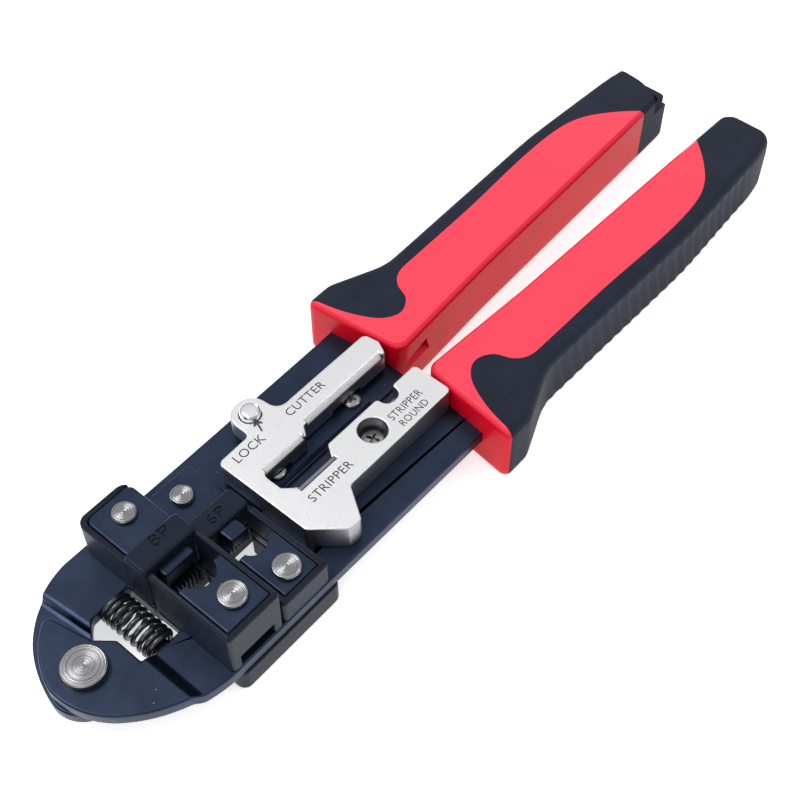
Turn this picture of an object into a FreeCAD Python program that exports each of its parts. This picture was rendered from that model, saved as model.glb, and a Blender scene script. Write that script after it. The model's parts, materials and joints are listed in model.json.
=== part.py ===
import FreeCAD, Part
import math
import os

"""Plug crimping tool with two pivoted steel arms, plug nests, crimping rams, a cast stripper and
cutter body, and two-colour moulded handles.

The model is laid out about the main pivot: X runs from the pivot to the handle ends, +Y is the side
of the moving arm, and Z = 0 is the underside of the flat part of both arms. Everything is moved to
the middle of the footprint, standing on Z = 0, when it is written out. Millimetres throughout.
"""

V = FreeCAD.Vector

# ---------------------------------------------------------------- driving dimensions
PLATE = 3.4                 # steel thickness of both arms
STEP = PLATE / 2 + 0.05     # how far each arm's tip is pressed out of the flat
NOSE_X = -8.6               # front of the tool
TAIL_X = 220.5              # rear of the tool
REST_Z = -7.0               # what the tool lies on
ARM_Y = 22.8                # outer edge of both arms, measured from the centre line
ARM_TAIL_Y = 23.2           # the same at the handles
INNER_Y = 0.4               # inner edge of both arms
ARM_END_X = 99.0            # where the fixed arm narrows into its tang
LEFT_ARM_END_X = 99.6       # the same on the moving arm
TANG_X = 150.0              # end of the tangs inside the handles
RUNNING_FIT = 0.05          # radial clearance of everything that turns or slides

PIVOT_SHANK_R = 3.6
PIVOT_HEAD_R = 4.9
PIVOT_HEAD = 1.8

SPRING_X = 14.4
SPRING_WIRE_R = 0.6
SPRING_COIL_R = 3.3
SPRING_TURNS = 8.0
SPRING_FRONT_Y = -7.2       # seat on the fixed arm
SPRING_BACK_Y = 8.4         # seat on the moving arm
POCKET_X0 = 8.6             # opening in which the spring sits
POCKET_X1 = 19.0
PEG_WIDTH = 2.8

NEST_8P_X0 = 19.2           # the nest for the wide plug
NEST_8P_X1 = 33.8
NEST_8P_TOP = 16.4
NEST_6P_X0 = 34.1           # the nest for the narrow plug
NEST_6P_X1 = 47.8
NEST_6P_TOP = 10.4
NEST_Y0 = -22.6
PLUG_8P = 11.9              # width of the wide plug's way through
PLUG_6P = 9.9
PLUG_DEPTH_Y = -10.4        # front wall of both plug nests
RIVET_8P = (27.2, 16.0)
RIVET_6P = (41.1, 17.0)
NEST_RIVET_R = 3.2
RAM_RIVET_R = 2.7
RIVET_HEAD = 1.3
RIVET_SHANK_R = 1.8
JAW_PLATE = 1.6

RAM_Y0 = 0.9                # front face of the rams' label bars
RAM_POCKET_TOP = 13.5
RAM_PLATE_6P_TOP = 5.2

BODY_X0 = 50.2              # cast stripper and cutter body
BODY_X1 = 99.0
BODY_TOP = 10.6
BODY_LEG_Y = 12.6           # outer edge of its cutter leg
BODY_ARM_Y = -13.2          # outer edge of its stripper leg
LEG_UNDERSIDE = 4.7         # the cutter leg floats over the moving arm
SCREW_CHANNEL = 6.0
LOCK_X = 64.4
LOCK_Y = 16.3
LOCK_R = 2.45
LOCK_TRAVEL = 1.2
LOCK_TOP = 12.5
LOCK_END = 4.55             # lower end of the lock button when pressed, clear of the cutter blade

HANDLE_TOP = 10.4
HANDLE_BOTTOM = REST_Z
GRIP_THICKNESS = 2.2
HANDLE_ROUND = 1.7
FLARE_Y = 31.4
HANDLE_INSET = 1.4          # the moving handle sits this much nearer the centre line
LUG_TOP = 5.0
LUG_X = 216.0
LUG_Y = 11.9
EYE_R = 1.9

ORIGIN = V((NOSE_X + TAIL_X) / 2, -HANDLE_INSET / 2, REST_Z)
EPS = 0.05


# ---------------------------------------------------------------- small helpers
def box(x0, x1, y0, y1, z0, z1):
    return Part.makeBox(x1 - x0, y1 - y0, z1 - z0, V(x0, y0, z0))


def cylinder(x, y, z0, z1, radius):
    return Part.makeCylinder(radius, z1 - z0, V(x, y, z0))


def union(shapes):
    return shapes[0].multiFuse(shapes[1:]).removeSplitter()


def outline(start, moves):
    """A closed wire: each move is an end point, or a mid point and an end point for an arc."""
    edges = []
    here = V(start[0], start[1], 0)
    first = here
    for move in moves:
        end = V(move[-2], move[-1], 0)
        if len(move) == 4:
            edges.append(Part.Arc(here, V(move[0], move[1], 0), end).toShape())
        else:
            edges.append(Part.makeLine(here, end))
        here = end
    if here.distanceToPoint(first) > 1e-6:
        edges.append(Part.makeLine(here, first))
    return Part.Wire(edges)


def rounded(corners):
    """A closed wire from (x, y, radius) corners, each corner an arc of its radius."""
    edges = []
    count = len(corners)
    ends = []
    for i, (x, y, radius) in enumerate(corners):
        here = V(x, y, 0)
        before = V(corners[i - 1][0], corners[i - 1][1], 0) - here
        after = V(corners[(i + 1) % count][0], corners[(i + 1) % count][1], 0) - here
        if radius <= 0:
            ends.append((here, None, here))
            continue
        before.normalize()
        after.normalize()
        half = before.getAngle(after) / 2
        reach = radius / math.tan(half)
        bisector = before + after
        bisector.normalize()
        middle = here + bisector * (radius / math.sin(half) - radius)
        ends.append((here + before * reach, middle, here + after * reach))
    for i, (enter, middle, leave) in enumerate(ends):
        if middle is not None:
            edges.append(Part.Arc(enter, middle, leave).toShape())
        following = ends[(i + 1) % count][0]
        if leave.distanceToPoint(following) > 1e-6:
            edges.append(Part.makeLine(leave, following))
    return Part.Wire(edges)


def prism(wire, z0, z1):
    face = Part.Face(wire)
    face.translate(V(0, 0, z0))
    return face.extrude(V(0, 0, z1 - z0))


def rounded_box(x0, x1, y0, y1, z0, z1, radius):
    corners = [(x0, y0, radius), (x1, y0, radius), (x1, y1, radius), (x0, y1, radius)]
    return prism(rounded(corners), z0, z1)


def level_edges(shape, z):
    """The edges of a shape that lie wholly in the plane at height z."""
    return [
        edge for edge in shape.Edges
        if abs(edge.BoundBox.ZMin - z) < 1e-4 and abs(edge.BoundBox.ZMax - z) < 1e-4
    ]


def soften(shape, z, size):
    """Chamfer every edge at height z."""
    return shape.makeChamfer(size, level_edges(shape, z))


def mirrored(shape):
    return shape.mirror(V(0, 0, 0), V(0, 1, 0))


def rivet(x, y, z_low, z_high, head_r, shank_r, head):
    """A turned rivet with a domed-edge head at each end; z_low and z_high are the clamped faces."""
    top = cylinder(x, y, z_high, z_high + head, head_r)
    top = soften(top, z_high + head, 0.35)
    foot = cylinder(x, y, z_low - head, z_low, head_r)
    foot = soften(foot, z_low - head, 0.35)
    return union([cylinder(x, y, z_low, z_high, shank_r), top, foot])


# ---------------------------------------------------------------- the two steel arms
def pressed_profile(step_foot, step_top, rise):
    """Side view of an arm, swept across it: a flat plate whose tip is pressed up or down."""
    side = [
        V(-30, -60, rise), V(step_foot, -60, rise), V(step_top, -60, 0), V(260, -60, 0),
        V(260, -60, PLATE), V(step_top, -60, PLATE), V(step_foot, -60, rise + PLATE),
        V(-30, -60, rise + PLATE), V(-30, -60, rise),
    ]
    face = Part.Face(Part.makePolygon(side))
    return face.extrude(V(0, 120, 0))


def plug_way(x0, x1, width, y0, y1, z0, z1):
    middle = (x0 + x1) / 2
    return box(middle - width / 2, middle + width / 2, y0, y1, z0, z1)


def right_arm():
    peg0 = SPRING_X - PEG_WIDTH / 2
    peg1 = SPRING_X + PEG_WIDTH / 2
    edge = outline((20.0, -ARM_Y), [
        (7.9, -20.0, -2.8, -12.5),
        (-7.0, -5.2, -7.8, 1.8),
        (-5.2, 8.0, 0.9, 14.4),
        (2.9, 14.2, 3.4, 12.6),
        (5.3, 4.0),
        (POCKET_X0, 0.0),
        (POCKET_X0, SPRING_FRONT_Y),
        (peg0, SPRING_FRONT_Y),
        (peg0, SPRING_FRONT_Y + 4.0),
        (peg1, SPRING_FRONT_Y + 4.0),
        (peg1, SPRING_FRONT_Y),
        (POCKET_X1, SPRING_FRONT_Y),
        (POCKET_X1, -INNER_Y),
        (ARM_END_X, -INNER_Y),
        (ARM_END_X, -9.6),
        (TANG_X, -11.6),
        (TANG_X, -20.4),
        (104.0, -ARM_TAIL_Y),
        (95.0, -ARM_TAIL_Y),
        (48.0, -ARM_Y),
    ])
    arm = prism(edge, -5, 10).common(pressed_profile(9.0, 12.0, STEP))
    holes = [
        cylinder(0, 0, -5, 10, PIVOT_SHANK_R),
        cylinder(RIVET_8P[0], -RIVET_8P[1], -5, 10, RIVET_SHANK_R),
        cylinder(RIVET_6P[0], -RIVET_6P[1], -5, 10, RIVET_SHANK_R),
        plug_way(NEST_8P_X0, NEST_8P_X1, PLUG_8P, PLUG_DEPTH_Y, 1, -5, 10),
        plug_way(NEST_6P_X0, NEST_6P_X1, PLUG_6P, PLUG_DEPTH_Y, 1, -5, 10),
        cylinder(78.9, -7.2, -5, 10, 1.5),
    ]
    return arm.cut(holes)


def left_arm():
    peg0 = SPRING_X - PEG_WIDTH / 2
    peg1 = SPRING_X + PEG_WIDTH / 2
    edge = outline((20.0, ARM_Y), [
        (48.0, ARM_Y),
        (95.0, ARM_TAIL_Y),
        (104.0, ARM_TAIL_Y),
        (TANG_X, 20.4),
        (TANG_X, 11.6),
        (LEFT_ARM_END_X, 9.6),
        (LEFT_ARM_END_X, INNER_Y),
        (POCKET_X1, INNER_Y),
        (POCKET_X1, SPRING_BACK_Y),
        (peg1, SPRING_BACK_Y),
        (peg1, SPRING_BACK_Y - 4.0),
        (peg0, SPRING_BACK_Y - 4.0),
        (peg0, SPRING_BACK_Y),
        (POCKET_X0 + 0.4, SPRING_BACK_Y),
        (5.8, 5.4),
        (5.8, -3.2),
        (3.2, -6.6, -2.0, -7.8),
        (-6.6, -5.2, NOSE_X, 0.4),
        (-7.2, 5.8, -3.2, 13.4),
        (3.9, 19.6, 14.0, ARM_Y),
    ])
    profile = pressed_profile(6.4, 7.8, -STEP)
    profile.rotate(V(7.0, 6.5, 0), V(0, 0, 1), 6.0)
    arm = prism(edge, -5, 10).common(profile)
    holes = [
        cylinder(0, 0, -5, 10, PIVOT_SHANK_R + RUNNING_FIT),
        cylinder(RIVET_8P[0], RIVET_8P[1], -5, 10, RIVET_SHANK_R),
        cylinder(RIVET_6P[0], 14.6, -5, 10, RIVET_SHANK_R),
        cylinder(85.1, 4.8, -5, 10, 1.0),
        cylinder(59.6, 4.1, -5, 10, 1.0),
    ]
    return arm.cut(holes)


def pivot_rivet():
    low = -STEP
    high = STEP + PLATE
    return rivet(0, 0, low - EPS, high, PIVOT_HEAD_R, PIVOT_SHANK_R, PIVOT_HEAD)


def return_spring():
    length = SPRING_BACK_Y - SPRING_FRONT_Y - 2 * SPRING_WIRE_R - 0.3
    helix = Part.makeHelix(length / SPRING_TURNS, length, SPRING_COIL_R)
    section = Part.Wire(Part.makeCircle(SPRING_WIRE_R, V(SPRING_COIL_R, 0, 0), V(0, 1, 0)))
    coil = Part.Wire(helix).makePipeShell([section], True, True)
    coil.rotate(V(0, 0, 0), V(1, 0, 0), -90)
    coil.translate(V(SPRING_X, SPRING_FRONT_Y + SPRING_WIRE_R + 0.15, PLATE / 2))
    return coil


# ---------------------------------------------------------------- plug nests on the fixed arm
def nest_frame(x0, x1, top, plug, rivet_xy, open_y):
    """A moulded frame round three sides of a plug, with a bed for its steel jaw plate."""
    frame = rounded_box(x0, x1, NEST_Y0, open_y, PLATE, top, 1.0)
    middle = (x0 + x1) / 2
    half = plug / 2
    frame = soften(frame, top, 0.6)
    bed = box(middle - half, middle + half, NEST_Y0 + 1.4, open_y + 1, top - JAW_PLATE, top + 1)
    way = box(middle - half, middle + half, PLUG_DEPTH_Y, open_y + 1, 0, top + 1)
    hole = cylinder(rivet_xy[0], -rivet_xy[1], 0, top + 1, RIVET_SHANK_R)
    return frame.cut([bed, way, hole])


def nest_frame_8p():
    frame = nest_frame(NEST_8P_X0, NEST_8P_X1, NEST_8P_TOP, PLUG_8P, RIVET_8P, 0.5)
    window = box(NEST_8P_X0 + 2.6, NEST_8P_X1 - 2.6, NEST_Y0 - 1, NEST_Y0 + 1.6, PLATE, PLATE + 3.6)
    return frame.cut(window)


def nest_frame_6p():
    frame = nest_frame(NEST_6P_X0, NEST_6P_X1, NEST_6P_TOP, PLUG_6P, RIVET_6P, -0.4)
    return frame


def nest_plate(x0, x1, top, plug, rivet_xy, front_y, cavity_r):
    """A steel jaw plate with a round-bottomed mouth that backs the plug."""
    middle = (x0 + x1) / 2
    half = plug / 2 - EPS
    plate = box(middle - half, middle + half, NEST_Y0 + 1.4 + EPS, front_y, top - JAW_PLATE, top)
    plate = soften(plate, top, 0.3)
    mouth = [
        cylinder(middle, PLUG_DEPTH_Y + cavity_r, 0, top + 1, cavity_r),
        box(middle - cavity_r, middle + cavity_r, PLUG_DEPTH_Y + cavity_r, front_y + 1, 0, top + 1),
    ]
    hole = cylinder(rivet_xy[0], -rivet_xy[1], 0, top + 1, RIVET_SHANK_R)
    return plate.cut(mouth + [hole])


def nest_plate_8p():
    return nest_plate(NEST_8P_X0, NEST_8P_X1, NEST_8P_TOP, PLUG_8P, RIVET_8P, -7.0, 4.0)


def nest_plate_6p():
    return nest_plate(NEST_6P_X0, NEST_6P_X1, NEST_6P_TOP, PLUG_6P, RIVET_6P, -8.0, 3.3)


def nest_underblock():
    """The moulded block under the fixed arm that carries both plug ways on down."""
    block = rounded_box(20.6, 50.6, -ARM_Y - 0.4, -INNER_Y - 0.4, REST_Z, 0, 2.2)
    block = soften(block, REST_Z, 0.6)
    cuts = [
        plug_way(NEST_8P_X0, NEST_8P_X1, PLUG_8P, PLUG_DEPTH_Y, 1, REST_Z - 1, 1),
        plug_way(NEST_6P_X0, NEST_6P_X1, PLUG_6P, PLUG_DEPTH_Y, 1, REST_Z - 1, 1),
    ]
    for x, y in (RIVET_8P, RIVET_6P):
        cuts.append(cylinder(x, -y, REST_Z - 1, 1, RIVET_SHANK_R))
        cuts.append(cylinder(x, -y, REST_Z - 1, REST_Z + 2.0, NEST_RIVET_R))
    return block.cut(cuts)


def nest_rivet_8p():
    return rivet(RIVET_8P[0], -RIVET_8P[1], REST_Z + 2.0, NEST_8P_TOP, NEST_RIVET_R,
                 RIVET_SHANK_R, RIVET_HEAD)


def nest_rivet_6p():
    return rivet(RIVET_6P[0], -RIVET_6P[1], REST_Z + 2.0, NEST_6P_TOP, NEST_RIVET_R,
                 RIVET_SHANK_R, RIVET_HEAD)


# ---------------------------------------------------------------- crimping rams on the moving arm
def ram_block_8p():
    """The tall ram moulding: a label bar in front and a bed for the steel plate behind it."""
    x0 = NEST_8P_X0
    x1 = NEST_8P_X1 - 0.6
    bar = rounded_box(x0 - 0.4, x1 + 0.6, RAM_Y0, 7.4, PLATE, NEST_8P_TOP, 1.4)
    bar = soften(bar, NEST_8P_TOP, 1.0)
    bed = rounded_box(x0, x1, 6.0, ARM_Y - 0.2, PLATE, RAM_POCKET_TOP, 2.6)
    bed = soften(bed, RAM_POCKET_TOP, 0.4)
    pocket = [
        box(x0 + 1.4, x1 + 1, 7.4, ARM_Y - 1.6, RAM_POCKET_TOP - JAW_PLATE, RAM_POCKET_TOP + 1),
        cylinder(RIVET_8P[0], RIVET_8P[1], 0, 20, RIVET_SHANK_R),
        box(22.2, 30.8, RAM_Y0 - 1, 5.0, 9.4, 14.0),
        box(21.8, 31.2, RAM_Y0 - 1, 5.0, PLATE - 1, 8.6),
    ]
    return union([bar, bed.cut(bar)]).cut(pocket)


def ram_plate_8p():
    x0 = NEST_8P_X0 + 1.4 + EPS
    x1 = NEST_8P_X1 - 0.6
    low = RAM_POCKET_TOP - JAW_PLATE
    corners = [(x0, 7.4 + EPS, 1.0), (x1, 7.4 + EPS, 0.6), (x1, ARM_Y - 1.6 - EPS, 1.8),
               (x0, ARM_Y - 1.6 - EPS, 1.8)]
    plate = prism(rounded(corners), low, RAM_POCKET_TOP + 0.2)
    plate = soften(plate, RAM_POCKET_TOP + 0.2, 0.35)
    return plate.cut(cylinder(RIVET_8P[0], RIVET_8P[1], 0, 20, RIVET_SHANK_R))


def ram_block_6p():
    """The low ram moulding beside the tall one."""
    x0 = NEST_8P_X1 + 0.7
    bar = rounded_box(x0, NEST_6P_X1, RAM_Y0 - 0.6, 6.4, PLATE, NEST_6P_TOP, 1.2)
    bar = soften(bar, NEST_6P_TOP, 0.8)
    bed = rounded_box(x0, NEST_6P_X1 + 0.6, 5.0, 20.2, PLATE, RAM_PLATE_6P_TOP - 0.8, 1.6)
    cuts = [
        cylinder(RIVET_6P[0], 14.6, 0, 20, RIVET_SHANK_R),
        box(38.4, 43.6, -1, 4.4, 6.2, 9.4),
        box(37.2, 44.8, -1, 4.4, PLATE - 1, 5.6),
    ]
    return union([bar, bed.cut(bar)]).cut(cuts)


def ram_plate_6p():
    low = RAM_PLATE_6P_TOP - 0.8
    plate = rounded_box(NEST_8P_X1 + 1.5, NEST_6P_X1 + 0.4, 6.4 + EPS, 20.0, low,
                        RAM_PLATE_6P_TOP + 0.4, 1.4)
    plate = soften(plate, RAM_PLATE_6P_TOP + 0.4, 0.3)
    return plate.cut(cylinder(RIVET_6P[0], 14.6, 0, 20, RIVET_SHANK_R))


def ram_underblock():
    """The moulded block under the moving arm that backs both rams."""
    block = rounded_box(20.6, 50.6, INNER_Y + 0.6, ARM_Y + 0.5, REST_Z, 0, 1.6)
    block = soften(block, REST_Z, 0.6)
    cuts = []
    for x, y in (RIVET_8P, (RIVET_6P[0], 14.6)):
        cuts.append(cylinder(x, y, REST_Z - 1, 1, RIVET_SHANK_R))
        cuts.append(cylinder(x, y, REST_Z - 1, REST_Z + 2.0, RAM_RIVET_R))
    return block.cut(cuts)


def ram_rivet_8p():
    return rivet(RIVET_8P[0], RIVET_8P[1], REST_Z + 2.0, RAM_POCKET_TOP + 0.2, RAM_RIVET_R,
                 RIVET_SHANK_R, RIVET_HEAD)


def ram_rivet_6p():
    return rivet(RIVET_6P[0], 14.6, REST_Z + 2.0, RAM_PLATE_6P_TOP + 0.4, RAM_RIVET_R,
                 RIVET_SHANK_R, RIVET_HEAD)


def contact_comb(middle, blades, pitch, z0, z1, back_y):
    """The steel punch block whose thin blades press the plug's contacts home."""
    half = blades * pitch / 2
    block = box(middle - half, middle + half, RAM_Y0 - 0.6, back_y, z0, z1)
    teeth = []
    for i in range(blades):
        x = middle + (i - (blades - 1) / 2) * pitch
        teeth.append(box(x - 0.28, x + 0.28, RAM_Y0 - 3.6, RAM_Y0 - 0.5, z0, z1))
    return union([block] + teeth)


def contact_comb_8p():
    return contact_comb(26.5, 8, 1.02, PLATE + EPS, 8.4, 4.9)


def contact_comb_6p():
    return contact_comb(41.0, 6, 1.02, PLATE + EPS, 5.5, 4.3)


def strain_pusher(x0, x1, y0, y1, z0, z1):
    """The blunt steel punch that folds the plug's cord clamp."""
    pusher = box(x0, x1, y0, y1, z0, z1)
    return soften(pusher, z1, 0.3)


def strain_pusher_8p():
    return strain_pusher(22.4, 30.6, -1.4, 4.9, 9.5, 13.9)


def strain_pusher_6p():
    return strain_pusher(38.6, 43.4, -3.4, 4.3, 6.3, 9.3)


# ---------------------------------------------------------------- stripper and cutter body
def stripper_body():
    """The U-shaped casting screwed to the fixed arm; its cutter leg floats over the moving arm."""
    edge = rounded([
        (BODY_X0, BODY_LEG_Y - 0.3, 1.6),
        (60.0, BODY_LEG_Y - 0.1, 1.2),
        (LOCK_X - 4.3, LOCK_Y + 4.4, 4.2),
        (LOCK_X + 4.3, LOCK_Y + 4.4, 4.2),
        (69.6, BODY_LEG_Y, 2.8),
        (98.3, BODY_LEG_Y, 1.6),
        (98.9, 8.4, 1.0),
        (97.4, 5.2, 0.9),
        (70.0, 5.2, 1.2),
        (68.4, 2.9, 0.9),
        (54.6, 2.9, 1.4),
        (54.6, -2.4, 1.0),
        (57.4, -5.4, 0.8),
        (67.4, -5.4, 0.8),
        (69.6, -2.2, 0.9),
        (86.0, -2.2, 0.9),
        (86.0, -5.4, 2.2),
        (91.0, -5.4, 2.2),
        (91.0, -2.2, 0.9),
        (BODY_X1, -2.2, 1.2),
        (BODY_X1, BODY_ARM_Y, 1.2),
        (65.0, BODY_ARM_Y, 1.6),
        (60.0, -20.8, 1.4),
        (56.6, -20.6, 1.4),
        (BODY_X0, -13.6, 1.6),
    ])
    body = prism(edge, PLATE, BODY_TOP)
    body = soften(body, BODY_TOP, 0.6)
    relief = [
        box(BODY_X0 - 1, BODY_X1 + 1, -INNER_Y, 30, PLATE - 1, LEG_UNDERSIDE),
        box(54.2, 63.2, -2.0, 30, PLATE - 1, SCREW_CHANNEL),
        box(79.4, 88.8, 0.5, 30, PLATE - 1, SCREW_CHANNEL),
        cylinder(78.9, -7.2, PLATE + 2.0, BODY_TOP + 1, 3.4),
        cylinder(78.9, -7.2, PLATE - 1, PLATE + 3, 1.6),
        cylinder(LOCK_X, LOCK_Y, PLATE - 1, BODY_TOP + 1, LOCK_R + RUNNING_FIT),
        box(57.0, 68.2, -6.2, -5.2, BODY_TOP - 1.3, BODY_TOP + 1),
        cylinder(88.5, -4.6, PLATE - 1, BODY_TOP - 2.2, 1.4),
    ]
    return body.cut(relief)


def cross_recess(x, y, z_top, reach, width, depth):
    """The cross-shaped driver recess to cut from a screw head."""
    return union([
        box(x - reach, x + reach, y - width, y + width, z_top - depth, z_top + 1),
        box(x - width, x + width, y - reach, y + reach, z_top - depth, z_top + 1),
    ])


def pan_screw(x, y, z_seat, z_end, head_r, head, shank_r):
    head_part = cylinder(x, y, z_seat, z_seat + head, head_r)
    head_part = soften(head_part, z_seat + head, 0.4)
    screw = union([cylinder(x, y, z_end, z_seat, shank_r), head_part])
    return screw.cut(cross_recess(x, y, z_seat + head, head_r * 0.62, 0.32, head * 0.6))


def stripper_body_screw():
    return pan_screw(78.9, -7.2, PLATE + 2.0, -0.6, 3.0, 1.9, 1.5)


def cutter_blade():
    """The steel blade on the moving arm, ground to an edge along the slot."""
    blade = prism(rounded([(56.6, 1.0, 0), (88.0, 1.0, 0), (88.0, 7.4, 0.6), (56.6, 7.4, 0.6)]),
                  PLATE, PLATE + 1.0)
    ground = blade.makeChamfer(0.8, [
        edge for edge in level_edges(blade, PLATE + 1.0)
        if edge.BoundBox.YMax < 1.01
    ])
    holes = [cylinder(85.1, 4.8, 0, 10, 1.0), cylinder(59.6, 4.1, 0, 10, 1.0)]
    return ground.cut(holes)


def cutter_blade_screws():
    return Part.makeCompound([
        pan_screw(85.1, 4.8, PLATE + 1.0, 0.4, 2.3, 1.3, 1.0),
        pan_screw(59.6, 4.1, PLATE + 1.0, 0.4, 2.3, 1.3, 1.0),
    ])


def stripper_blade():
    """The upright blade along the stripping slot."""
    return box(57.1, 68.1, -6.1, -5.3, BODY_TOP - 1.25, BODY_TOP - 0.2)


def round_cable_blade():
    """The small upright blade in the round-cable notch."""
    blade = cylinder(88.5, -4.6, PLATE + EPS, BODY_TOP - 2.3, 1.35)
    return blade.common(box(87.0, 90.0, -6.2, -4.0, PLATE, BODY_TOP))


def lock_knob():
    knob = cylinder(LOCK_X, LOCK_Y, LOCK_END + LOCK_TRAVEL, LOCK_TOP, LOCK_R)
    return soften(knob, LOCK_TOP, 0.5)


# ---------------------------------------------------------------- handles
def handle_wire():
    """Plan of the fixed handle: flared at the root, waisted for the fingers, blunt at the tail."""
    return rounded([
        (97.2, -FLARE_Y, 1.8),
        (105.0, -FLARE_Y, 6.0),
        (119.0, -25.5, 16.0),
        (178.0, -26.8, 150.0),
        (212.0, -24.8, 60.0),
        (TAIL_X, -23.2, 4.5),
        (TAIL_X, -9.2, 3.5),
        (196.0, -8.3, 80.0),
        (134.0, -6.4, 80.0),
        (100.4, -4.4, 3.2),
    ])


def handle_solid():
    solid = prism(handle_wire(), HANDLE_BOTTOM, HANDLE_TOP)
    rims = level_edges(solid, HANDLE_TOP) + level_edges(solid, HANDLE_BOTTOM)
    return solid.makeFillet(HANDLE_ROUND, rims)


def handle_core():
    wire = handle_wire().makeOffset2D(-GRIP_THICKNESS)
    return prism(wire, HANDLE_BOTTOM + GRIP_THICKNESS, HANDLE_TOP - GRIP_THICKNESS)


def grip_zone():
    """Plan of the soft grip: the outer side, a lobe near the root and the whole rear end."""
    zone = outline((98.0, -40.0), [
        (99.6, -27.5),
        (103.4, -16.0),
        (108.8, -11.6, 114.0, -15.4),
        (115.6, -20.0, 121.6, -21.2),
        (154.0, -21.0, 184.0, -22.0),
        (196.6, -18.4, 204.6, -9.6),
        (206.0, -2.0),
        (240.0, -2.0),
        (240.0, -40.0),
    ])
    return prism(zone, -20, 30)


def tang_space():
    """Room for an arm's tang inside a handle."""
    space = outline((90.0, -9.5), [
        (ARM_END_X, -9.55),
        (TANG_X + 0.1, -11.5),
        (TANG_X + 0.1, -20.5),
        (104.0, -ARM_TAIL_Y - 0.05),
        (90.0, -ARM_TAIL_Y - 0.05),
    ])
    return prism(space, -EPS, PLATE + EPS)


def right_handle_shell():
    zone = grip_zone().cut(handle_core())
    return handle_solid().cut([zone, tang_space()])


def right_handle_grip():
    zone = grip_zone().cut(handle_core())
    return handle_solid().common(zone).cut(tang_space())


def tail_cut():
    """What the moving handle lacks behind: its upper part ends early, above a lanyard lug."""
    upper = outline((208.5, -2.0), [
        (215.0, -17.0),
        (215.6, -30.0),
        (240.0, -30.0),
        (240.0, -2.0),
    ])
    return union([
        prism(upper, LUG_TOP, 30),
        box(217.0, 240, -30, -2, -20, LUG_TOP),
    ])


def lanyard_lug():
    return prism(rounded([(205.0, -9.8, 0), (214.6, -9.4, 1.6), (219.8, -11.4, 1.6),
                          (219.8, -18.4, 2.4), (214.0, -21.0, 2.0), (205.0, -21.4, 0)]),
                 -2.0, LUG_TOP)


def lanyard_eye():
    return cylinder(LUG_X, LUG_Y, -20, 30, EYE_R)


def moving_side(shape):
    """The moving handle's copy of a shape drawn for the fixed handle."""
    copy = mirrored(shape)
    copy.translate(V(0, -HANDLE_INSET, 0))
    return copy


def left_handle_shell():
    zone = grip_zone().cut(handle_core())
    shell = handle_solid().cut([zone, tail_cut()])
    return moving_side(shell).cut([mirrored(tang_space()), lanyard_eye()])


def left_handle_grip():
    zone = grip_zone().cut(handle_core())
    grip = handle_solid().common(zone).cut(tail_cut())
    core = handle_core().cut(tail_cut())
    grip = moving_side(union([grip, lanyard_lug().cut(core)]))
    return grip.cut([mirrored(tang_space()), lanyard_eye()])


# ---------------------------------------------------------------- writing the pieces out
PIECES = {
    "right_arm": right_arm,
    "left_arm": left_arm,
    "pivot_rivet": pivot_rivet,
    "return_spring": return_spring,
    "nest_frame_8p": nest_frame_8p,
    "nest_plate_8p": nest_plate_8p,
    "nest_rivet_8p": nest_rivet_8p,
    "nest_frame_6p": nest_frame_6p,
    "nest_plate_6p": nest_plate_6p,
    "nest_rivet_6p": nest_rivet_6p,
    "nest_underblock": nest_underblock,
    "ram_block_8p": ram_block_8p,
    "ram_plate_8p": ram_plate_8p,
    "ram_rivet_8p": ram_rivet_8p,
    "contact_comb_8p": contact_comb_8p,
    "strain_pusher_8p": strain_pusher_8p,
    "ram_block_6p": ram_block_6p,
    "ram_plate_6p": ram_plate_6p,
    "ram_rivet_6p": ram_rivet_6p,
    "contact_comb_6p": contact_comb_6p,
    "strain_pusher_6p": strain_pusher_6p,
    "ram_underblock": ram_underblock,
    "stripper_body": stripper_body,
    "stripper_body_screw": stripper_body_screw,
    "cutter_blade": cutter_blade,
    "cutter_blade_screws": cutter_blade_screws,
    "stripper_blade": stripper_blade,
    "round_cable_blade": round_cable_blade,
    "lock_knob": lock_knob,
    "right_handle_shell": right_handle_shell,
    "right_handle_grip": right_handle_grip,
    "left_handle_shell": left_handle_shell,
    "left_handle_grip": left_handle_grip,
}


def main():
    os.makedirs("parts", exist_ok=True)
    for name, make in PIECES.items():
        shape = make()
        if not shape.isValid():
            raise ValueError(name + " is not a valid solid")
        shape.translate(ORIGIN * -1)
        shape.exportStep("parts/" + name + ".step")
        size = shape.BoundBox
        print(name, len(shape.Solids), round(shape.Volume, 1),
              [round(v, 2) for v in (size.XMin, size.XMax, size.YMin, size.YMax, size.ZMin, size.ZMax)])


if __name__ == "__main__":
    main()
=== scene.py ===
import json
import math

import bmesh
import bpy
from bpy.props import FloatProperty, FloatVectorProperty, PointerProperty
from bpy.types import Operator, Panel, PropertyGroup
from mathutils import Matrix, Vector


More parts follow.
